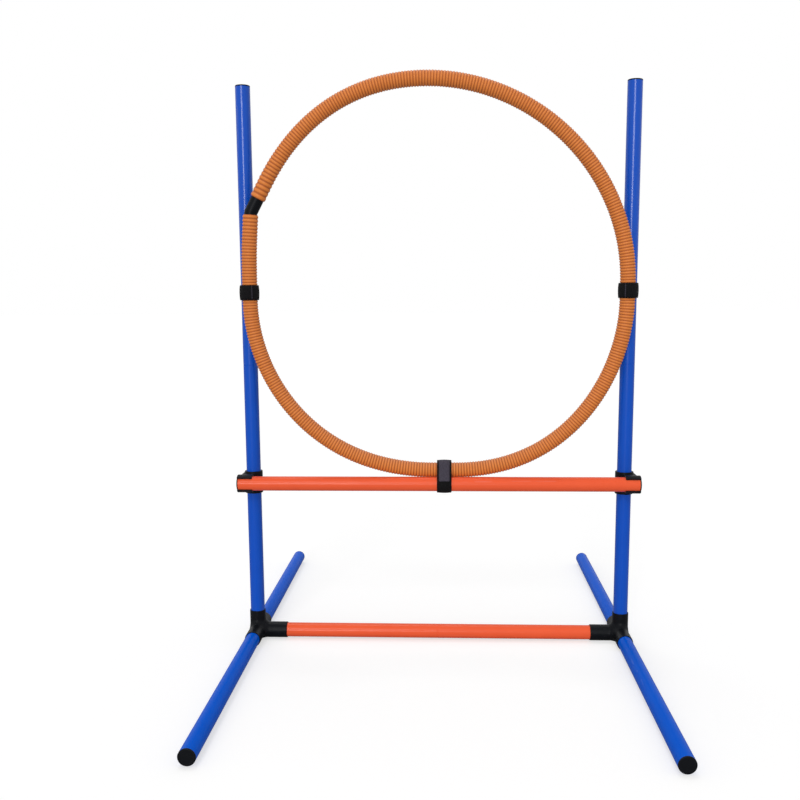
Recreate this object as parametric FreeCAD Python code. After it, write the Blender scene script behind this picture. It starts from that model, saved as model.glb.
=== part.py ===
import FreeCAD, Part
import math
import os

from FreeCAD import Placement, Rotation, Vector

os.makedirs("parts", exist_ok=True)

# Millimetres. X runs to the right, Y to the back and Z up.
# The origin lies on the floor, midway between the two posts.
# The jump is used from both sides; the bar and the hoop hang on the front of the posts, at negative Y.

# Plastic tubes
tube_outer = 25.0
tube_wall = 1.5
tube_end_chamfer = 0.4
frame_tube_length = 464.0
post_spacing = 650.0

# Radial play of a tube in its socket or cradle, and of a plug or sleeve in its tube
tube_fit = 0.05

# Corner connectors: reaches and seat are measured from the connector's centre
socket_wall = 1.5
socket_reach = 54.0
post_socket_reach = 38.5
socket_seat = 16.0
passage_radius = 9.5
web_radius = 10.0
web_inset = 0.5

# End plugs and the hidden inner sleeves of the two-piece posts and bars
plug_head = 2.0
plug_rim_radius = 1.2
plug_depth = 14.0
plug_wall = 1.8
sleeve_length = 80.0
sleeve_wall = 2.0

# Upper bar: its axis stands in front of the posts' axes
bar_height = 290.0
bar_offset = 33.0
bar_half_length = 345.0

# Bar clips: a collar that slides on the post, with an open cradle beside it for the bar
clip_wall = 3.0
clip_fit = 0.1
collar_height = 39.0
collar_drop = 2.5
cradle_length = 26.0
cradle_inset = 0.5
cradle_mouth_angle = 90.0
gusset_height_at_bar = 20.0
gusset_edge_step = 2.0

# Hoop: a ribbed hose bent round until its ends meet over an inner joiner
hose_outer = 26.0
hose_bore = 22.0
rib_depth = 1.1
rib_count = 200
crest_share = 0.5
flank_share = 0.12
hoop_offset = 26.5
hoop_half_width = 317.0
hoop_top_height = 962.0
hoop_top_shift = -20.0
hoop_on_bar_gap = 0.5
bar_rest_length = 40.0

# Fullness of the hoop's bends: the handle of each bend as a share of its width and height
upper_right_fullness = 0.545
lower_side_fullness = 0.45
lower_bottom_fullness = 0.67
joint_bend_start = 0.4
joint_bend_end = 0.36

# Joint of the hoop's ends: place, and how far each end leans from upright
joint_side = 312.0
joint_height = 750.0
joint_upper_lean = 28.0
joint_lower_lean = 4.0
joint_gap = 0.5

# Joiner: the bare length of its upper leg, and how far it reaches into each end of the hose
joiner_bare = 23.0
joiner_depth = 24.0
joiner_bend_start = 3.0

# Hook-and-loop straps
strap_width = 25.0
strap_thickness = 1.6
strap_clearance = 0.3
strap_margin = 1.5
side_strap_height = 618.0
bottom_strap_shift = 12.0
strap_tail_end_rise = 5.0

UP = Vector(0, 0, 1)
FRONT = Vector(0, -1, 0)
BACK = Vector(0, 1, 0)
RIGHT = Vector(1, 0, 0)

# Sizes that follow from the driving dimensions
tube_radius = tube_outer / 2
tube_bore_radius = tube_radius - tube_wall
insert_radius = tube_bore_radius - tube_fit
socket_bore_radius = tube_radius + tube_fit
socket_radius = socket_bore_radius + socket_wall
leg_axis_height = socket_radius
post_foot_height = leg_axis_height + socket_seat
post_seam_height = post_foot_height + frame_tube_length
post_end_height = post_seam_height + frame_tube_length
lower_bar_half_length = post_spacing / 2 - socket_seat
hose_radius = hose_outer / 2
bar_end = bar_half_length + plug_head


def export(shape, node):
    shape.exportStep("parts/" + node + ".step")
    print(node, round(shape.Volume), shape.isValid(), len(shape.Solids))


def rims(cylinder):
    """The round edges at a cylinder's two ends."""
    return [edge for edge in cylinder.Edges if edge.isClosed()]


def tube(start, direction, length):
    outer = Part.makeCylinder(tube_radius, length, start, direction)
    outer = outer.makeChamfer(tube_end_chamfer, rims(outer))
    bore = Part.makeCylinder(tube_bore_radius, length, start, direction)
    return outer.cut(bore)


def end_plug(seat, outward):
    """A hollow spigot pressed into a tube's end, under a head as wide as the tube, with a rounded rim."""
    head = Part.makeCylinder(tube_radius, plug_head, seat, outward)
    face_centre = seat + outward * plug_head
    outer_rim = [edge for edge in rims(head) if (edge.CenterOfMass - face_centre).Length < plug_head / 2]
    head = head.makeFillet(plug_rim_radius, outer_rim)
    inner_end = seat - outward * plug_depth
    spigot = Part.makeCylinder(insert_radius, plug_depth, inner_end, outward)
    hollow = Part.makeCylinder(insert_radius - plug_wall, plug_depth, inner_end, outward)
    return head.fuse(spigot.cut(hollow)).removeSplitter()


def inner_sleeve(middle, direction):
    """The short sleeve inside a seam, which carries one tube on the next."""
    start = middle - direction * (sleeve_length / 2)
    outer = Part.makeCylinder(insert_radius, sleeve_length, start, direction)
    bore = Part.makeCylinder(insert_radius - sleeve_wall, sleeve_length, start, direction)
    return outer.cut(bore)


def disc(centre, normal, radius):
    return Part.Face(Part.Wire([Part.makeCircle(radius, centre, normal)]))


def web(centre, arm_a, arm_b):
    """The rounded inner corner between two sockets, as a quarter bend that joins them."""
    bend_radius = socket_radius + web_radius
    start = centre + arm_a * bend_radius
    pivot = centre + (arm_a + arm_b) * bend_radius
    section = disc(start, arm_a, socket_radius - web_inset)
    return section.revolve(pivot, arm_b.cross(arm_a), 90)


def corner_connector(side):
    """Four sockets: one up for the post, one inward for the lower bar, two for the legs."""
    centre = Vector(side * post_spacing / 2, 0, leg_axis_height)
    inward = RIGHT * -side
    arms = [(UP, post_socket_reach), (inward, socket_reach), (FRONT, socket_reach), (BACK, socket_reach)]
    body = Part.makeCylinder(socket_radius, 2 * socket_reach, centre + BACK * socket_reach, FRONT)
    body = body.fuse(Part.makeCylinder(socket_radius, post_socket_reach, centre, UP))
    body = body.fuse(Part.makeCylinder(socket_radius, socket_reach, centre, inward))
    for arm_a, arm_b in [(UP, inward), (UP, FRONT), (UP, BACK), (inward, FRONT), (inward, BACK)]:
        body = body.fuse(web(centre, arm_a, arm_b))
    for direction, reach in arms:
        seat = centre + direction * socket_seat
        body = body.cut(Part.makeCylinder(socket_bore_radius, reach - socket_seat, seat, direction))
        body = body.cut(Part.makeCylinder(passage_radius, socket_seat, centre, direction))
    return body


def prism(points, direction):
    return Part.Face(Part.makePolygon(points + points[:1])).extrude(direction)


def bar_clip(side):
    post_x = side * post_spacing / 2
    collar_bore = tube_radius + clip_fit
    collar_radius = collar_bore + clip_wall
    collar_foot = bar_height - collar_drop - collar_height / 2
    collar_top = collar_foot + collar_height
    cradle_bore = tube_radius + tube_fit
    cradle_radius = cradle_bore + clip_wall
    outer_end = side * (bar_end - cradle_inset)
    inner_end = outer_end - side * cradle_length
    bar_axis = Vector(outer_end, -bar_offset, bar_height)
    collar = Part.makeCylinder(collar_radius, collar_height, Vector(post_x, 0, collar_foot), UP)
    cradle = Part.makeCylinder(cradle_radius, cradle_length, bar_axis, RIGHT * -side)

    # The gusset between the two, cut to its plan and to its side view
    plan = prism([
        Vector(outer_end - side * gusset_edge_step, -bar_offset, collar_foot),
        Vector(outer_end - side * gusset_edge_step, clip_wall - bar_offset + tube_radius, collar_foot),
        Vector(post_x + side * collar_radius, 0, collar_foot),
        Vector(post_x, 0, collar_foot),
        Vector(inner_end, clip_wall - bar_offset + tube_radius, collar_foot),
        Vector(inner_end, -bar_offset, collar_foot),
    ], UP * collar_height)
    left_edge = -bar_end
    side_view = prism([
        Vector(left_edge, 0, collar_foot + gusset_edge_step),
        Vector(left_edge, 0, collar_top - gusset_edge_step),
        Vector(left_edge, -bar_offset, bar_height + gusset_height_at_bar / 2),
        Vector(left_edge, -bar_offset, bar_height - gusset_height_at_bar / 2),
    ], RIGHT * 2 * bar_end)
    body = collar.fuse(cradle).fuse(plan.common(side_view))

    # The bores, and the cradle's mouth towards the front
    half_mouth = math.radians(cradle_mouth_angle / 2)
    mouth_depth = 2 * cradle_radius
    mouth_rise = mouth_depth * math.tan(half_mouth)
    mouth = prism([
        bar_axis,
        bar_axis + FRONT * mouth_depth + UP * mouth_rise,
        bar_axis + FRONT * mouth_depth - UP * mouth_rise,
    ], RIGHT * -side * cradle_length)
    body = body.cut(Part.makeCylinder(collar_bore, collar_height, Vector(post_x, 0, collar_foot), UP))
    body = body.cut(Part.makeCylinder(cradle_bore, cradle_length, bar_axis, RIGHT * -side))
    return body.cut(mouth).removeSplitter()


def belt(centre_a, radius_a, centre_b, radius_b, normal, width):
    """A solid with the outline of a belt round two wheels."""
    along = centre_b - centre_a
    distance = along.Length
    along = along / distance
    across = normal.cross(along)
    slope = (radius_a - radius_b) / distance
    spread = math.sqrt(1 - slope * slope)
    upper = along * slope + across * spread
    lower = along * slope - across * spread
    a_upper = centre_a + upper * radius_a
    a_lower = centre_a + lower * radius_a
    b_upper = centre_b + upper * radius_b
    b_lower = centre_b + lower * radius_b
    outline = Part.Wire([
        Part.makeLine(a_upper, b_upper),
        Part.Arc(b_upper, centre_b + along * radius_b, b_lower).toShape(),
        Part.makeLine(b_lower, a_lower),
        Part.Arc(a_lower, centre_a - along * radius_a, a_upper).toShape(),
    ])
    face = Part.Face(outline)
    face.translate(normal * (-width / 2))
    return face.extrude(normal * width)


def strap(tube_centre, hose_centre, normal, tail_space):
    """A band round tube and hose, whose tail lies over it as a second layer inside tail_space."""
    tube_side = tube_radius + strap_clearance
    hose_side = hose_radius + strap_clearance

    def layer(offset):
        return belt(tube_centre, tube_side + offset, hose_centre, hose_side + offset, normal, strap_width)

    band = layer(strap_thickness).cut(layer(0))
    tail = layer(2 * strap_thickness).cut(layer(strap_thickness)).common(tail_space)
    return band.fuse(tail).removeSplitter()


def at_hoop(x, z):
    return Vector(x, -hoop_offset, z)


def lean(degrees):
    """The upward direction that leans right by the given angle."""
    angle = math.radians(degrees)
    return Vector(math.sin(angle), 0, math.cos(angle))


def bend(start, start_handle, end, end_handle):
    curve = Part.BezierCurve()
    curve.setPoles([start, start + start_handle, end - end_handle, end])
    return curve.toShape()


# The hoop rests on the bar: its axis is one tube radius, one hose radius and the gap away from the bar's
axis_distance = tube_radius + hose_radius + hoop_on_bar_gap
hoop_bottom_height = bar_height + math.sqrt(axis_distance ** 2 - (bar_offset - hoop_offset) ** 2)

# The hose runs straight where a strap holds it, where it rests on the bar, and at each of its ends
held = strap_width / 2 + strap_margin
right_high = at_hoop(hoop_half_width, side_strap_height + held)
right_low = at_hoop(hoop_half_width, side_strap_height - held)
left_high = at_hoop(-hoop_half_width, side_strap_height + held)
left_low = at_hoop(-hoop_half_width, side_strap_height - held)
bottom_right = at_hoop(bottom_strap_shift + bar_rest_length / 2, hoop_bottom_height)
bottom_left = at_hoop(bottom_strap_shift - bar_rest_length / 2, hoop_bottom_height)
top = at_hoop(hoop_top_shift, hoop_top_height)
joint = at_hoop(-joint_side, joint_height)
upper_direction = lean(joint_upper_lean)
lower_direction = lean(joint_lower_lean) * -1
kink = math.radians(joint_upper_lean - joint_lower_lean)
end_setback = hose_radius * math.tan(kink / 2) + joint_gap
upper_end = joint + upper_direction * (end_setback + joiner_bare)
lower_end = joint + lower_direction * end_setback
upper_run_end = upper_end + upper_direction * hose_outer
lower_run_end = lower_end + lower_direction * hose_outer

first_span = (top - upper_run_end).Length
last_span = (lower_run_end - left_high).Length
right_rise = top.z - right_high.z
low_rise = right_low.z - hoop_bottom_height
hoop_path = [
    Part.makeLine(upper_end, upper_run_end),
    bend(upper_run_end, upper_direction * (joint_bend_start * first_span),
         top, RIGHT * (joint_bend_end * first_span)),
    bend(top, RIGHT * ((right_high.x - top.x) * upper_right_fullness),
         right_high, UP * (-right_rise * upper_right_fullness)),
    Part.makeLine(right_high, right_low),
    bend(right_low, UP * (-low_rise * lower_side_fullness),
         bottom_right, RIGHT * ((bottom_right.x - right_low.x) * lower_bottom_fullness)),
    Part.makeLine(bottom_right, bottom_left),
    bend(bottom_left, RIGHT * ((left_low.x - bottom_left.x) * lower_bottom_fullness),
         left_low, UP * (low_rise * lower_side_fullness)),
    Part.makeLine(left_low, left_high),
    bend(left_high, UP * (joint_bend_start * last_span),
         lower_run_end, lower_direction * (-joint_bend_start * last_span)),
    Part.makeLine(lower_run_end, lower_end),
]
hose_length = sum(edge.Length for edge in hoop_path)
print("hose length", round(hose_length, 1))


def hoop_frame(distance):
    """The point and the direction of the hoop's axis, at a distance along it."""
    for edge in hoop_path:
        if distance <= edge.Length or edge is hoop_path[-1]:
            parameter = edge.getParameterByLength(min(distance, edge.Length))
            return edge.valueAt(parameter), edge.tangentAt(parameter)
        distance -= edge.Length


def hoop_ring(distance, radius):
    """A circle square to the hoop's axis, whose own X axis always points to the back."""
    point, tangent = hoop_frame(distance)
    ring = Part.Wire([Part.Circle(Vector(0, 0, 0), UP, radius).toShape()])
    ring.Placement = Placement(point, Rotation(BACK, tangent.cross(BACK), tangent, "ZXY"))
    return ring


def ribbed_hose():
    pitch = hose_length / rib_count
    crest_radius = hose_radius
    root_radius = hose_radius - rib_depth
    outer_rings = []
    bore_rings = []
    for rib in range(rib_count):
        start = rib * pitch
        flank = flank_share * pitch
        crest = crest_share * pitch
        outer_rings.append(hoop_ring(start, root_radius))
        outer_rings.append(hoop_ring(start + flank, crest_radius))
        outer_rings.append(hoop_ring(start + flank + crest, crest_radius))
        outer_rings.append(hoop_ring(start + 2 * flank + crest, root_radius))
        bore_rings.append(hoop_ring(start, hose_bore / 2))
    outer_rings.append(hoop_ring(hose_length, root_radius))
    bore_rings.append(hoop_ring(hose_length, hose_bore / 2))
    outer = Part.makeLoft(outer_rings, True, True)
    bore = Part.makeLoft(bore_rings, True, True)
    return outer.cut(bore)


def hoop_joiner():
    """The inner plug that both ends of the hose are pushed onto, bent near the lower one."""
    radius = hose_bore / 2 - tube_fit
    bend_radius = joiner_bend_start / math.tan(kink / 2)
    upper_start = joint + upper_direction * joiner_bend_start
    lower_start = joint + lower_direction * joiner_bend_start
    lower_length = end_setback + joiner_depth - joiner_bend_start
    upper_length = lower_length + joiner_bare
    inward = Vector(upper_direction.z, 0, -upper_direction.x)
    pivot = upper_start + inward * bend_radius
    elbow = disc(upper_start, upper_direction, radius).revolve(pivot, BACK, -math.degrees(kink))
    body = elbow.fuse(Part.makeCylinder(radius, upper_length, upper_start, upper_direction))
    return body.fuse(Part.makeCylinder(radius, lower_length, lower_start, lower_direction)).removeSplitter()


# Frame: connectors, legs, posts and lower bar
for name, side in [("left", -1), ("right", 1)]:
    post_x = side * post_spacing / 2
    connector_centre = Vector(post_x, 0, leg_axis_height)
    export(corner_connector(side), name + "_corner_connector")

    for place, direction in [("front", FRONT), ("back", BACK)]:
        leg_start = connector_centre + direction * socket_seat
        leg_end = leg_start + direction * frame_tube_length
        export(tube(leg_start, direction, frame_tube_length), name + "_" + place + "_leg")
        export(end_plug(leg_end, direction), name + "_" + place + "_leg_plug")

    foot = Vector(post_x, 0, post_foot_height)
    seam = Vector(post_x, 0, post_seam_height)
    post_end = Vector(post_x, 0, post_end_height)
    export(tube(foot, UP, frame_tube_length), name + "_lower_post")
    export(tube(seam, UP, frame_tube_length), name + "_upper_post")
    export(inner_sleeve(seam, UP), name + "_post_sleeve")
    export(end_plug(post_end, UP), name + "_post_plug")

    lower_middle = Vector(0, 0, leg_axis_height)
    export(tube(lower_middle, RIGHT * side, lower_bar_half_length), name + "_lower_bar")

export(inner_sleeve(Vector(0, 0, leg_axis_height), RIGHT), "lower_bar_sleeve")

# Upper bar with its clips
upper_middle = Vector(0, -bar_offset, bar_height)
export(inner_sleeve(upper_middle, RIGHT), "upper_bar_sleeve")
for name, side in [("left", -1), ("right", 1)]:
    outward = RIGHT * side
    export(tube(upper_middle, outward, bar_half_length), name + "_upper_bar")
    export(end_plug(upper_middle + outward * bar_half_length, outward), name + "_bar_plug")
    export(bar_clip(side), name + "_bar_clip")

# Hoop with its joiner and straps; each strap's tail ends on the front of the hoop
export(ribbed_hose(), "hoop_hose")
export(hoop_joiner(), "hoop_joiner")
tail_reach = 2 * hose_outer
for name, side in [("left", -1), ("right", 1)]:
    tube_centre = Vector(side * post_spacing / 2, 0, side_strap_height)
    hose_centre = at_hoop(side * hoop_half_width, side_strap_height)
    tail_left = min(hose_centre.x, hose_centre.x + side * tail_reach)
    tail_corner = Vector(tail_left, -hoop_offset - tail_reach, side_strap_height - strap_width / 2)
    tail_space = Part.makeBox(tail_reach, tail_reach, strap_width, tail_corner)
    export(strap(tube_centre, hose_centre, UP, tail_space), name + "_hoop_strap")

bar_centre = Vector(bottom_strap_shift, -bar_offset, bar_height)
hose_centre = at_hoop(bottom_strap_shift, hoop_bottom_height)
tail_end_height = bar_height + strap_tail_end_rise
tail_corner = Vector(bottom_strap_shift - strap_width / 2, -hoop_offset - tail_reach, tail_end_height)
tail_space = Part.makeBox(strap_width, tail_reach, tail_reach, tail_corner)
export(strap(bar_centre, hose_centre, RIGHT, tail_space), "bottom_hoop_strap")
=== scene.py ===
import math

import bmesh
import bpy
from mathutils import Matrix, Vector


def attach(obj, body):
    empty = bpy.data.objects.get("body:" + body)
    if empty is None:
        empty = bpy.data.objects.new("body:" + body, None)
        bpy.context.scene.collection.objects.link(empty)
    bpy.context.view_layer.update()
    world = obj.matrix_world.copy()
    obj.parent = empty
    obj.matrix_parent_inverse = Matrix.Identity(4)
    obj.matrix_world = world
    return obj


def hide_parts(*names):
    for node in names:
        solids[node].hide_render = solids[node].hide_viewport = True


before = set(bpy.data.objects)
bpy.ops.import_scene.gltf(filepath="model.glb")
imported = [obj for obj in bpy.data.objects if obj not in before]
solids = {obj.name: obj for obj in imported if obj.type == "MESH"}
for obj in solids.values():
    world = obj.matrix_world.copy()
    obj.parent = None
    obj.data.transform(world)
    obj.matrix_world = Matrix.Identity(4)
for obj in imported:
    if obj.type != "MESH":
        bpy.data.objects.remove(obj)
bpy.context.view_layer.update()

# Corner connectors
# The two corner connectors stand on the floor. Each is one black plastic moulding with a socket for
# the post, one for the lower bar and one for each leg, and thick rounded webs between the sockets.
# The tubes are pushed in and stay by friction.


def find_socket(sockets, key):
    """A node's socket by its number, its identifier or its name."""
    if isinstance(key, int):
        return sockets[key]
    return next(socket for socket in sockets if key in (socket.identifier, socket.name))


class Signal:
    """A value in a node tree. Arithmetic on signals adds the Math nodes that work it out."""

    def __init__(self, tree, socket=None):
        self.tree = tree
        self.socket = socket

    def node(self, kind, settings, sockets, output=0):
        """Adds a node: its settings come first, then a value or a signal for each socket."""
        node = self.tree.nodes.new(kind)
        for name, value in settings.items():
            setattr(node, name, value)
        for key, value in sockets.items():
            socket = find_socket(node.inputs, key)
            if isinstance(value, Signal):
                self.tree.links.new(value.socket, socket)
            else:
                socket.default_value = value
        return Signal(self.tree, find_socket(node.outputs, output))

    def other(self, output):
        """Another output of the node that this signal comes from."""
        return Signal(self.tree, find_socket(self.socket.node.outputs, output))

    def maths(self, operation, first, second=0.0):
        return self.node("ShaderNodeMath", {"operation": operation}, {0: first, 1: second})

    def __add__(self, value):
        return self.maths("ADD", self, value)

    def __sub__(self, value):
        return self.maths("SUBTRACT", self, value)

    def __rsub__(self, value):
        return self.maths("SUBTRACT", value, self)

    def __mul__(self, value):
        return self.maths("MULTIPLY", self, value)

    def __truediv__(self, value):
        return self.maths("DIVIDE", self, value)

    def __pow__(self, value):
        return self.maths("POWER", self, value)

    __radd__ = __add__
    __rmul__ = __mul__


def new_finish(name, gloss):
    """A material, and where each point of its surface is, for the patterns on it."""
    material = bpy.data.materials.new(name)
    material.use_nodes = True
    shader = material.node_tree.nodes["Principled BSDF"]
    shader.inputs["Specular IOR Level"].default_value = gloss
    return material, Signal(material.node_tree).node("ShaderNodeTexCoord", {}, {}, "Object")


def lay_on(material, colour, roughness, height, depth):
    """Gives a material its colour, its roughness and a relief that is depth metres high."""
    shader = material.node_tree.nodes["Principled BSDF"]
    relief = height.node("ShaderNodeBump", {}, {"Height": height, "Distance": depth}, "Normal")
    for signal, name in ((colour, "Base Color"), (roughness, "Roughness"), (relief, "Normal")):
        signal.tree.links.new(signal.socket, shader.inputs[name])


def mottle(place, size, detail, stretch=(1, 1, 1)):
    """Cloudy variation from 0 to 1 in blotches of the given size in metres."""
    drawn_out = place.node("ShaderNodeVectorMath", {"operation": "MULTIPLY"},
                           {0: place, 1: stretch})
    return place.node("ShaderNodeTexNoise", {},
                      {"Vector": drawn_out, "Scale": 1 / size, "Detail": detail})


def eased(value, low, high):
    """A mask that goes smoothly from 0 to 1 as a value goes from low to high."""
    return value.node("ShaderNodeMapRange", {"interpolation_type": "SMOOTHSTEP"},
                      {"Value": value, "From Min": low, "From Max": high})


def blended(mask, first, second):
    """The first colour, turning into the second where the mask is 1."""
    first, second = [colour if isinstance(colour, Signal) else (*colour, 1)
                     for colour in (first, second)]
    return mask.node("ShaderNodeMix", {"data_type": "RGBA"},
                     {"Factor_Float": mask, "A_Color": first, "B_Color": second}, "Result_Color")


def black_moulding():
    """Black plastic from a mould with a fine matt grain, dulled a little where it was handled."""
    material, place = new_finish("black moulding", gloss=0.09)
    grain = mottle(place, 0.0005, 3)
    handling = mottle(place, 0.012, 3)
    scuffs = eased(mottle(place, 0.004, 5, (1, 1, 2.5)), 0.60, 0.74)
    colour = blended(handling, (0.0026, 0.0032, 0.0048), (0.0052, 0.0060, 0.0080))
    colour = blended(scuffs * 0.5, colour, (0.016, 0.018, 0.022))
    lay_on(material, colour, 0.34 + handling * 0.14 + scuffs * 0.12, grain + scuffs * 0.3, 0.00006)
    return material


def baked(piece):
    """Turns what a piece's modifiers make of it into its plain mesh."""
    worked_out = piece.evaluated_get(bpy.context.evaluated_depsgraph_get())
    shape = bpy.data.meshes.new_from_object(worked_out)
    if piece.type == "MESH":
        piece.modifiers.clear()
        piece.data = shape
        return piece
    name = piece.name
    bpy.data.objects.remove(piece)
    piece = bpy.data.objects.new(name, shape)
    bpy.context.scene.collection.objects.link(piece)
    return piece


def soft_edged(node, name, skin, rounds, material):
    """A moulding's solid with the fillets and soft edges that its mould gives it.
    The skin is the size of its faces in metres, and more rounds make its edges softer."""
    mesh = solids[node].data.copy()
    shell = bmesh.new()
    shell.from_mesh(mesh)
    bmesh.ops.remove_doubles(shell, verts=shell.verts, dist=1e-6)
    shell.to_mesh(mesh)
    shell.free()
    piece = bpy.data.objects.new(name, mesh)
    bpy.context.scene.collection.objects.link(piece)
    remesh = piece.modifiers.new("even skin", "REMESH")
    remesh.mode = "VOXEL"
    remesh.voxel_size = skin
    smooth = piece.modifiers.new("soft edges", "SMOOTH")
    smooth.factor = 0.5
    smooth.iterations = rounds
    piece = baked(piece)
    piece.data.shade_smooth()
    piece.data.materials.clear()
    piece.data.materials.append(material)
    return piece


moulding = black_moulding()
for side in ("left", "right"):
    connector = soft_edged(side + "_corner_connector", side + "_corner_moulding",
                           skin=0.0008, rounds=10, material=moulding)
    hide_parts(side + "_corner_connector")
    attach(connector, "stand")

# Posts, legs and lower bar
# The tubes of the stand are extruded plastic, blue for the posts and legs and orange for the bars.
# Every open end has a black plug with a rounded rim, pressed in flush, and each post is two tubes
# joined end to end on a hidden sleeve.


def extruded(name, colour, shade, along, gloss):
    """Glossy coloured tube: fine lines drawn along it by the die, and a few dull rubs."""
    material, place = new_finish(name, gloss)
    lengthwise = tuple(0.02 if axis == along else 1.0 for axis in "xyz")
    die_lines = mottle(place, 0.0011, 2, lengthwise)
    cloud = mottle(place, 0.035, 2)
    rubs = eased(mottle(place, 0.006, 4, lengthwise), 0.62, 0.72) * eased(cloud, 0.45, 0.6)
    tone = blended(cloud, colour, shade)
    tone = blended(rubs * 0.05, tone, (0.75, 0.75, 0.78))
    lay_on(material, tone, 0.20 + cloud * 0.06 + rubs * 0.2, die_lines, 0.000008)
    return material


def refinish(node, material):
    """Gives a solid that stays as it is its real finish."""
    for slot in solids[node].material_slots:
        slot.material = material


blue_upright = extruded("blue tube upright", colour=(0.0015, 0.085, 0.560),
                        shade=(0.0012, 0.070, 0.490), along="z", gloss=0.28)
# The legs are the same blue plastic as the posts. Their copy of it has a painted lighter colour, a
# stand-in for the light falling on their upward faces, and a lower gloss.
blue_lying_painted_lit = extruded("blue tube lying painted lighter", colour=(0.0015, 0.118, 0.72),
                      shade=(0.0012, 0.10, 0.65), along="y", gloss=0.015)
orange_tube = extruded("orange tube", colour=(0.904, 0.125, 0.045),
                       shade=(0.84, 0.105, 0.036), along="x", gloss=0.12)
for side in ("left", "right"):
    for part in ("lower", "upper"):
        refinish(f"{side}_{part}_post", blue_upright)
        refinish(f"{side}_{part}_bar", orange_tube)
    for part in ("front", "back"):
        refinish(f"{side}_{part}_leg", blue_lying_painted_lit)
        refinish(f"{side}_{part}_leg_plug", moulding)
    refinish(f"{side}_post_plug", moulding)
    refinish(f"{side}_post_sleeve", moulding)
    refinish(f"{side}_bar_plug", moulding)
refinish("lower_bar_sleeve", moulding)
refinish("upper_bar_sleeve", moulding)

# Bar clips
# A bar clip is one black moulding: a collar that slides on the post and an open cradle in front of
# it, into which the upper bar snaps from the front.

for side in ("left", "right"):
    clip = soft_edged(side + "_bar_clip", side + "_bar_holder",
                      skin=0.0007, rounds=5, material=moulding)
    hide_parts(side + "_bar_clip")
    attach(clip, "bar_carriage")

# Hoop
# The hoop is about two metres of ribbed hose in tan orange plastic. At the upper left a black joiner
# shows between its two ends, and the ribs beside it are drawn apart. At the bottom a strap pulls the
# hose back against the upper bar.

post_side = 0.325
tube_radius = 0.0125
hose_radius = 0.0130
hose_bore_radius = 0.0110
hoop_front = -0.0265
bar_height = 0.290
bar_front = -0.033
hoop_side = 0.317
hoop_top = Vector((-0.020, hoop_front, 0.962))
strap_height = 0.618
bottom_strap_x = 0.012
held_run = 0.014
bar_rest_run = 0.020
joint = Vector((-0.312, hoop_front, 0.750))
upper_lean = math.radians(28)
lower_lean = math.radians(4)
joiner_bare = 0.023
up = Vector((0, 0, 1))
right = Vector((1, 0, 0))

rib_gap = 0.0005
bottom_front = -0.0215
touching = tube_radius + hose_radius
bottom_z = bar_height + math.sqrt(touching ** 2 - (bar_front - bottom_front) ** 2)
upper_way = Vector((math.sin(upper_lean), 0, math.cos(upper_lean)))
lower_way = -Vector((math.sin(lower_lean), 0, math.cos(lower_lean)))
setback = hose_radius * math.tan((upper_lean - lower_lean) / 2) + rib_gap
upper_end = joint + upper_way * (setback + joiner_bare)
lower_end = joint + lower_way * setback
upper_bend = upper_end + upper_way * 2 * hose_radius
lower_bend = lower_end + lower_way * 2 * hose_radius
right_high = Vector((hoop_side, hoop_front, strap_height + held_run))
right_low = Vector((hoop_side, hoop_front, strap_height - held_run))
left_low = Vector((-hoop_side, hoop_front, strap_height - held_run))
left_high = Vector((-hoop_side, hoop_front, strap_height + held_run))
bottom_right = Vector((bottom_strap_x + bar_rest_run, bottom_front, bottom_z))
bottom_left = Vector((bottom_strap_x - bar_rest_run, bottom_front, bottom_z))

# How full the bends are: a handle's share of the way that its bend covers
joint_fullness = 0.4
top_left_fullness = 0.36
top_fullness = 0.545
lower_side_fullness = 0.45
lower_bottom_fullness = 0.67
first_span = (hoop_top - upper_bend).length
last_span = (lower_bend - left_high).length
upper_rise = (hoop_top.z - right_high.z) * top_fullness
lower_rise = (right_low.z - bottom_z) * lower_side_fullness

# Each knot of the hoop's line: its place, the handle that comes in to it, and the one that goes out
hoop_line = [
    (upper_end, None, None),
    (upper_bend, None, upper_way * joint_fullness * first_span),
    (hoop_top, -right * top_left_fullness * first_span,
     right * (hoop_side - hoop_top.x) * top_fullness),
    (right_high, up * upper_rise, None),
    (right_low, None, -up * lower_rise),
    (bottom_right, right * (hoop_side - bottom_right.x) * lower_bottom_fullness, None),
    (bottom_left, None, -right * (hoop_side + bottom_left.x) * lower_bottom_fullness),
    (left_low, -up * lower_rise, None),
    (left_high, None, up * joint_fullness * last_span),
    (lower_bend, lower_way * joint_fullness * last_span, None),
    (lower_end, None, None),
]


def bezier(name, knots):
    """A curve through knots. It runs straight where a knot has no handle."""
    curve = bpy.data.curves.new(name, "CURVE")
    curve.dimensions = "3D"
    curve.resolution_u = 48
    spline = curve.splines.new("BEZIER")
    spline.bezier_points.add(len(knots) - 1)
    for number, (place, handle_in, handle_out) in enumerate(knots):
        before = knots[max(number - 1, 0)][0]
        after = knots[min(number + 1, len(knots) - 1)][0]
        point = spline.bezier_points[number]
        point.handle_left_type = point.handle_right_type = "FREE"
        point.co = place
        point.handle_left = place + (handle_in or (before - place) / 3)
        point.handle_right = place + (handle_out or (after - place) / 3)
    piece = bpy.data.objects.new(name, curve)
    bpy.context.scene.collection.objects.link(piece)
    return piece


def new_recipe(name, sizes):
    """A Geometry Nodes tree that takes a shape and named sizes, and gives a shape."""
    tree = bpy.data.node_groups.new(name, "GeometryNodeTree")
    tree.interface.new_socket("Geometry", in_out="INPUT", socket_type="NodeSocketGeometry")
    for size, kind in sizes.items():
        tree.interface.new_socket(size, in_out="INPUT", socket_type="NodeSocket" + kind)
    tree.interface.new_socket("Geometry", in_out="OUTPUT", socket_type="NodeSocketGeometry")
    start = Signal(tree).node("NodeGroupInput", {}, {})
    return tree, start


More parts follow.
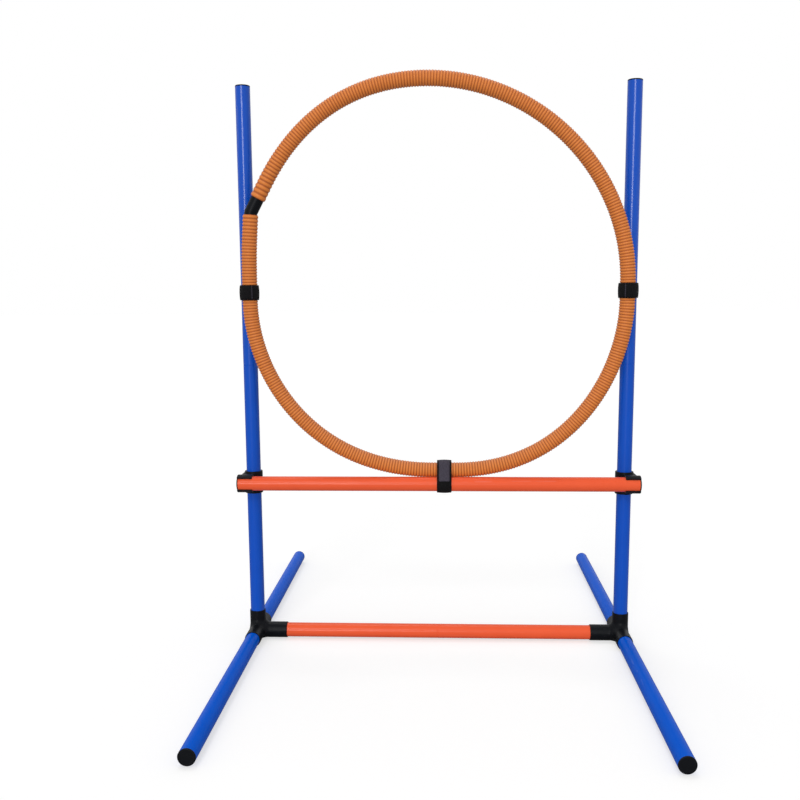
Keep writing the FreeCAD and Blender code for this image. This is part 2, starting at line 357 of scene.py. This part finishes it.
def close_recipe(shape, material):
    """Ends a recipe with real faces that all carry one material."""
    shape = shape.node("GeometryNodeRealizeInstances", {}, {"Geometry": shape})
    shape = shape.node("GeometryNodeSetMaterial", {}, {"Geometry": shape, "Material": material})
    output = shape.tree.nodes.new("NodeGroupOutput")
    shape.tree.links.new(shape.socket, output.inputs[0])


def follow_recipe(piece, tree, values):
    """Runs a recipe on a piece, with a value for each named size, and keeps what it makes."""
    modifier = piece.modifiers.new(tree.name, "NODES")
    modifier.node_group = tree
    for item in tree.interface.items_tree:
        if item.in_out == "INPUT" and item.name in values:
            modifier[item.identifier] = values[item.name]
    return baked(piece)


def ribbed_hose_recipe(material):
    """A hose along a line: its ribbed skin, its smooth bore and the rims of its two cut ends."""
    sizes = {"Ribs": "Int", "Radius": "Float", "Rib Depth": "Float", "Bore Radius": "Float",
             "Open Start": "Float", "Open End": "Float", "Open Ribs": "Float"}
    tree, line = new_recipe("ribbed hose", sizes)
    signals = [line.other(name) for name in sizes]
    ribs, radius, depth, bore, open_start, open_end, open_ribs = signals
    rings = 6
    rims = 2
    sides = 32
    bore_steps = 200
    groove_sharpness = 1.6
    unevenness = 0.00006
    weld = 0.00002
    count = ribs * rings + (1 + rims)
    number = line.node("GeometryNodeInputIndex", {}, {})

    # A ring's place counted in ribs; the first and last rings are the inner rims of the cut ends
    ring = line.maths("MAXIMUM", number - 1, 0.0)
    rib = line.maths("MINIMUM", ring, ribs * rings) / rings

    # How far along the hose it lies: the ribs are even, and drawn apart towards the two ends
    whole = line.node("GeometryNodeCurveLength", {}, {"Curve": line})
    pitch = whole / (ribs + (open_start + open_end) * open_ribs)
    from_start = line.maths("POWER", math.exp(-1), rib / open_ribs)
    from_end = line.maths("POWER", math.exp(-1), (ribs - rib) / open_ribs)
    along = pitch * (rib + open_ribs * (open_start * (1 - from_start) + open_end * from_end))
    rim_step = 0.0001
    steps_left = count - 1 - number
    along = line.maths("MAXIMUM", along, line.maths("MINIMUM", number, 1.0) * rim_step)
    furthest = whole - line.maths("MINIMUM", steps_left, 1.0) * rim_step
    along = line.maths("MINIMUM", along, furthest)

    # How deep in a groove it is: 1 at the groove's bottom and 0 on the crest of a rib
    groove = (line.maths("COSINE", rib * (2 * math.pi)) * 0.5 + 0.5) ** groove_sharpness
    uneven = line.node("FunctionNodeRandomValue", {"data_type": "FLOAT"},
                       {"Min_001": -unevenness, "Max_001": unevenness,
                        "ID": line.maths("FLOOR", rib), "Seed": 4}, "Value_001")
    at_rim = line.maths("COMPARE", number, 0.0) + line.maths("COMPARE", steps_left, 0.0)
    size = (radius - depth * groove + uneven) * (1 - at_rim) + bore * at_rim

    place = line.node("GeometryNodeSampleCurve", {"mode": "LENGTH"},
                      {"Curves": line, "Length": along}, "Position")
    spine = line.node("GeometryNodeCurvePrimitiveLine", {}, {})
    spine = line.node("GeometryNodeResampleCurve", {}, {"Curve": spine, "Count": count})
    spine = line.node("GeometryNodeSetPosition", {}, {"Geometry": spine, "Position": place})
    spine = line.node("GeometryNodeStoreNamedAttribute", {"data_type": "FLOAT", "domain": "POINT"},
                      {"Geometry": spine, "Name": "groove", "Value": groove})
    ring_shape = line.node("GeometryNodeCurvePrimitiveCircle", {},
                           {"Resolution": sides, "Radius": 1.0})
    skin = line.node("GeometryNodeCurveToMesh", {},
                     {"Curve": spine, "Profile Curve": ring_shape, "Scale": size})

    # The smooth bore, which meets the skin at the two rims
    lining = line.node("GeometryNodeResampleCurve", {}, {"Curve": line, "Count": bore_steps})
    # The bore is marked as full groove, so the material paints the same dark groove shade inside it.
    lining = line.node("GeometryNodeStoreNamedAttribute", {"data_type": "FLOAT", "domain": "POINT"},
                       {"Geometry": lining, "Name": "groove", "Value": 1.0})
    lining = line.node("GeometryNodeCurveToMesh", {},
                       {"Curve": lining, "Profile Curve": ring_shape, "Scale": bore})
    lining = line.node("GeometryNodeFlipFaces", {}, {"Mesh": lining})
    shell = line.node("GeometryNodeJoinGeometry", {}, {"Geometry": skin})
    line.tree.links.new(lining.socket, shell.socket.node.inputs[0])
    shell = line.node("GeometryNodeMergeByDistance", {}, {"Geometry": shell, "Distance": weld})
    shell = line.node("GeometryNodeSetShadeSmooth", {}, {"Geometry": shell})
    close_recipe(shell, material)
    return tree


def hose_plastic():
    """Tan orange flexible plastic with satin crests. Its colour carries a painted highlight that
    makes it paler where it faces up, and painted shade that makes the grooves darker and redder.
    """
    material, place = new_finish("ribbed hose plastic", gloss=0.2)
    groove = place.node("ShaderNodeAttribute", {"attribute_name": "groove"}, {}, "Fac")
    facing = place.node("ShaderNodeSeparateXYZ", {}, {"Vector": place.other("Normal")}, "Z")
    cloud = mottle(place, 0.03, 3)
    grain = mottle(place, 0.0006, 3)
    colour = blended(cloud, (0.79, 0.250, 0.054), (0.71, 0.212, 0.042))
    # Painted highlight: the colour turns paler where the surface faces up, a stand-in for the light
    # from above.
    colour = blended(eased(facing, 0.1, 1.0) * 0.3, colour, (0.68, 0.32, 0.19))
    # Painted shade: the grooves are darkened towards a deep red-brown, a stand-in for the shade that
    # falls in them.
    colour = blended(eased(groove, 0.1, 1.0) * 0.75, colour, (0.30, 0.060, 0.014))
    lay_on(material, colour, 0.40 + cloud * 0.10 + groove * 0.15, grain, 0.00005)
    return material


hose = follow_recipe(bezier("ribbed_hoop", hoop_line), ribbed_hose_recipe(hose_plastic()), {
    "Ribs": 412, "Radius": hose_radius, "Rib Depth": 0.0011, "Bore Radius": hose_bore_radius,
    "Open Start": 0.8, "Open End": 0.35, "Open Ribs": 7.0,
})
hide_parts("hoop_hose")
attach(hose, "hoop")
refinish("hoop_joiner", moulding)

# Straps
# Three black hook-and-loop straps hold the hoop, one to each post and one to the upper bar. Each is
# a length of tape that goes once round tube and hose and then lies over its own start. The bottom
# one ends in a longer and narrower tail, whose colour is painted paler grey as a stand-in for its
# sheen.

strap_width = 0.025
strap_thickness = 0.0017
strap_play = 0.0012
strap_crown = 0.0008
strap_corner = 0.003
tail_width = 0.0185
lap_ease = 0.012
lap_gap = 0.0001
step_length = 0.0008


def round_belt(distance, hose_turn, tube_turn, apart):
    """A place on a belt round hose and tube, that far from its crown, its outward direction there
    and the length of the belt. The hose's centre is the origin, and the tube's lies below it."""
    tilt = math.asin((hose_turn - tube_turn) / apart)
    over_hose = (math.pi / 2 - tilt) * hose_turn
    straight = math.sqrt(apart ** 2 - (hose_turn - tube_turn) ** 2)
    half_round = over_hose + straight + (math.pi / 2 + tilt) * tube_turn
    distance %= 2 * half_round
    flip = 1 if distance <= half_round else -1
    if flip < 0:
        distance = 2 * half_round - distance
    angle = tilt
    centre = Vector((0, 0))
    turn = hose_turn
    if distance < over_hose:
        angle = math.pi / 2 - distance / hose_turn
    elif distance > over_hose + straight:
        angle = tilt - (distance - over_hose - straight) / tube_turn
        centre = Vector((0, -apart))
        turn = tube_turn
    outward = Vector((math.cos(angle), math.sin(angle)))
    place = centre + outward * turn
    if over_hose <= distance <= over_hose + straight:
        share = (distance - over_hose) / straight
        place = outward * (hose_turn + (tube_turn - hose_turn) * share)
        place = place + Vector((0, -apart * share))
    return Vector((place.x * flip, place.y)), Vector((outward.x * flip, outward.y)), 2 * half_round


def strap_line(name, apart, start, overlap):
    """The middle of a tape that starts near the crown, goes once round and laps over its start."""
    middle = strap_play + strap_thickness / 2
    sizes = (hose_radius + middle, tube_radius + middle, apart)
    lap = round_belt(0.0, *sizes)[2]
    length = lap + overlap
    steps = round(length / step_length)
    curve = bpy.data.curves.new(name, "CURVE")
    curve.dimensions = "3D"
    curve.twist_mode = "Z_UP"
    spline = curve.splines.new("POLY")
    spline.points.add(steps)
    for step in range(steps + 1):
        distance = length * step / steps
        place, outward, _ = round_belt(start + distance, *sizes)
        lift = min(max((distance - lap + lap_ease) / lap_ease, 0), 1)
        lift = lift * lift * (3 - 2 * lift) * (strap_thickness + lap_gap)
        place = place + outward * lift
        spline.points[step].co = (place.x, place.y, 0, 1)
    piece = bpy.data.objects.new(name, curve)
    bpy.context.scene.collection.objects.link(piece)
    return piece


def tape_recipe(material):
    """A flat tape along a line, a little bowed across, with a narrower tail at its end."""
    sizes = {"Width": "Float", "Thickness": "Float", "Crown": "Float", "Tail Width": "Float",
             "Tail Length": "Float", "Corner": "Float"}
    tree, line = new_recipe("hook and loop tape", sizes)
    signals = [line.other(name) for name in sizes]
    width, thickness, crown, narrow_width, tail_length, corner = signals
    length = line.node("GeometryNodeCurveLength", {}, {"Curve": line})
    reached = line.node("GeometryNodeSplineParameter", {}, {}, "Length")
    spine = line.node("GeometryNodeStoreNamedAttribute", {"data_type": "FLOAT", "domain": "POINT"},
                      {"Geometry": line, "Name": "reached", "Value": reached})
    section = line.node("GeometryNodeCurvePrimitiveQuadrilateral", {},
                        {"Width": thickness, "Height": width})
    section = line.node("GeometryNodeFilletCurve", {},
                        {"Curve": section, "Radius": thickness * 0.3, "Count": 3})
    section = line.node("GeometryNodeSubdivideCurve", {}, {"Curve": section, "Cuts": 3})
    place = line.node("GeometryNodeInputPosition", {}, {})
    depth = line.node("ShaderNodeSeparateXYZ", {}, {"Vector": place}, "X")
    height = depth.other("Y")
    bowed = line.node("ShaderNodeCombineXYZ", {},
                      {"X": depth + crown * (height * 2 / width) ** 2, "Y": height})
    section = line.node("GeometryNodeSetPosition", {}, {"Geometry": section, "Position": bowed})
    tape = line.node("GeometryNodeCurveToMesh", {},
                     {"Curve": spine, "Profile Curve": section, "Fill Caps": True})

    # The tail is a little narrower than the band, and its corners are cut round
    shoulder = 0.002
    corner_cut = 0.12
    reached = line.node("GeometryNodeInputNamedAttribute", {"data_type": "FLOAT"},
                        {"Name": "reached"}, "Attribute")
    left = length - reached
    tail = eased(left, tail_length + shoulder, tail_length)
    cut = line.maths("MAXIMUM", 1 - left / corner, 0.0)
    share = (1 - tail * (1 - narrow_width / width)) * (1 - cut * cut * corner_cut)
    sideways = line.node("ShaderNodeSeparateXYZ", {}, {"Vector": place}, "X")
    across = sideways.other("Z") * share
    moved = line.node("ShaderNodeCombineXYZ", {},
                      {"X": sideways, "Y": sideways.other("Y"), "Z": across})
    tape = line.node("GeometryNodeSetPosition", {}, {"Geometry": tape, "Position": moved})
    weave = line.node("ShaderNodeCombineXYZ", {}, {"X": reached, "Y": across, "Z": tail})
    tape = line.node("GeometryNodeStoreNamedAttribute",
                     {"data_type": "FLOAT_VECTOR", "domain": "POINT"},
                     {"Geometry": tape, "Name": "tape", "Value": weave})
    tape = line.node("GeometryNodeSetShadeSmooth", {}, {"Geometry": tape})
    close_recipe(tape, material)
    return tree


def tape_cloth():
    """Black nylon tape: a fine weave under short fuzzy loops, with plain bound edges."""
    material, place = new_finish("hook and loop tape", gloss=0.08)
    tape = place.node("ShaderNodeAttribute", {"attribute_name": "tape"}, {}, "Vector")
    parts = place.node("ShaderNodeSeparateXYZ", {}, {"Vector": tape}, "X")
    across = parts.other("Y")
    tail = parts.other("Z")
    warp_pitch = 0.0009
    weft_pitch = 0.0007
    warp = place.maths("SINE", across * (2 * math.pi / warp_pitch))
    weft = place.maths("SINE", parts * (2 * math.pi / weft_pitch))
    fuzz = mottle(place, 0.0008, 5)
    rows = warp * weft * 0.25 + fuzz
    selvedge = eased(place.maths("ABSOLUTE", across), 0.0104, 0.0110)
    colour = blended(eased(fuzz, 0.35, 0.65), (0.0016, 0.0015, 0.0017), (0.0115, 0.0110, 0.0120))
    # Painted sheen: the tail's colour turns to a paler grey, a stand-in for the light that it
    # catches where it faces up.
    tail_sheen = blended(eased(fuzz, 0.35, 0.65), (0.042, 0.037, 0.052), (0.082, 0.073, 0.096))
    colour = blended(tail, colour, tail_sheen)
    colour = blended(selvedge * 0.8, colour, (0.0045, 0.0045, 0.0050))
    lay_on(material, colour, 0.60 + fuzz * 0.2 - selvedge * 0.15, rows * (1 - selvedge), 0.0004)
    return material


tape = tape_recipe(tape_cloth())
# Each strap: its name, the middle of the tube and of the hose that it holds together, the way round
# that its tape goes, where it starts, how far it laps over itself and its narrow tail's length
joined = [
    ("left", Vector((-post_side, 0, strap_height)), Vector((-hoop_side, hoop_front, strap_height)),
     -1, -0.021, 0.023, 0.0),
    ("right", Vector((post_side, 0, strap_height)), Vector((hoop_side, hoop_front, strap_height)),
     1, -0.021, 0.023, 0.0),
    ("bottom", Vector((bottom_strap_x, bar_front, bar_height)),
     Vector((bottom_strap_x, bottom_front, bottom_z)), -1, 0.0, 0.049, 0.046),
]
for name, tube, middle, turn, start, overlap, tail in joined:
    along = (middle - tube).normalized()
    across = up if name != "bottom" else right
    sideways = along.cross(across) * turn
    strap = strap_line(name + "_tape_strap", (middle - tube).length, start, overlap)
    strap = follow_recipe(strap, tape, {
        "Width": strap_width, "Thickness": strap_thickness, "Crown": strap_crown,
        "Tail Width": tail_width if tail else strap_width, "Tail Length": tail,
        "Corner": strap_corner,
    })
    frame_of_strap = Matrix((sideways, along, sideways.cross(along))).transposed().to_4x4()
    frame_of_strap.translation = middle
    strap.data.transform(frame_of_strap)
    strap.data.set_sharp_from_angle(angle=math.radians(50))
    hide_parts(name + "_hoop_strap")
    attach(strap, "hoop")

# Studio
# The jump stands on a plain pale floor in soft even light, seen from a little above the middle.

floor_shape = bmesh.new()
bmesh.ops.create_grid(floor_shape, x_segments=1, y_segments=1, size=30)
floor_mesh = bpy.data.meshes.new("floor")
floor_shape.to_mesh(floor_mesh)
floor_shape.free()
floor = bpy.data.objects.new("floor", floor_mesh)
bpy.context.scene.collection.objects.link(floor)
floor_finish = bpy.data.materials.new("pale floor")
floor_finish.use_nodes = True
floor_tree = floor_finish.node_tree
floor_shader = floor_tree.nodes["Principled BSDF"]
floor_shader.inputs["Base Color"].default_value = (0.50, 0.50, 0.50, 1)
floor_shader.inputs["Roughness"].default_value = 0.9
floor_shader.inputs["Specular IOR Level"].default_value = 0.1
floor_shader.inputs["Emission Color"].default_value = (1, 1, 1, 1)
glow = 0.585
seen = Signal(floor_tree).node("ShaderNodeLightPath", {}, {}, "Is Camera Ray")
floor_glow = seen * glow
floor_tree.links.new(floor_glow.socket, floor_shader.inputs["Emission Strength"])
floor_mesh.materials.append(floor_finish)

world = bpy.data.worlds.new("studio")
bpy.context.scene.world = world
world.use_nodes = True
around = Signal(world.node_tree).node("ShaderNodeLightPath", {}, {}, "Is Camera Ray")
direct = around.maths("MAXIMUM", around, around.other("Is Glossy Ray"))
direct = around.maths("MAXIMUM", direct, around.other("Is Transmission Ray"))
ambient = 0.55
background = world.node_tree.nodes["Background"]
background.inputs["Color"].default_value = (1, 1, 1, 1)
strength = direct * (1 - ambient) + ambient
world.node_tree.links.new(strength.socket, background.inputs["Strength"])


def sun(name, power, spread, towards):
    """Soft light from far away, which falls in the given direction."""
    light = bpy.data.lights.new(name, "SUN")
    light.energy = power
    light.angle = math.radians(spread)
    lamp = bpy.data.objects.new(name, light)
    lamp.rotation_mode = "QUATERNION"
    lamp.rotation_quaternion = Vector(towards).to_track_quat("-Z", "Y")
    bpy.context.scene.collection.objects.link(lamp)


sun("key light", 0.55, 14, (0.14, 0.81, -0.57))
sun("low front light", 1.0, 15, (0.150, 0.977, -0.156))
sun("top light", 0.45, 20, (0.10, -0.30, -0.95))

camera_data = bpy.data.cameras.new("camera")
camera_data.sensor_width = 36
camera_data.lens = 42.44
camera_data.shift_x = -0.0056
camera_data.shift_y = 0.042
camera_data.clip_end = 100
yaw = -0.0447
pitch = 0.1461
roll = 0.0060
look = Vector((math.sin(yaw) * math.cos(pitch), math.cos(yaw) * math.cos(pitch), -math.sin(pitch)))
level = Vector((math.cos(yaw), -math.sin(yaw), 0))
down = look.cross(level)
camera_right = level * math.cos(roll) + down * math.sin(roll)
camera_down = down * math.cos(roll) - level * math.sin(roll)
camera = bpy.data.objects.new("camera", camera_data)
bpy.context.scene.collection.objects.link(camera)
camera.matrix_world = Matrix((camera_right, -camera_down, -look)).transposed().to_4x4()
camera.matrix_world.translation = Vector((0.0154, -1.6297, 0.6129))
bpy.context.scene.camera = camera
bpy.context.scene.view_settings.view_transform = "Standard"
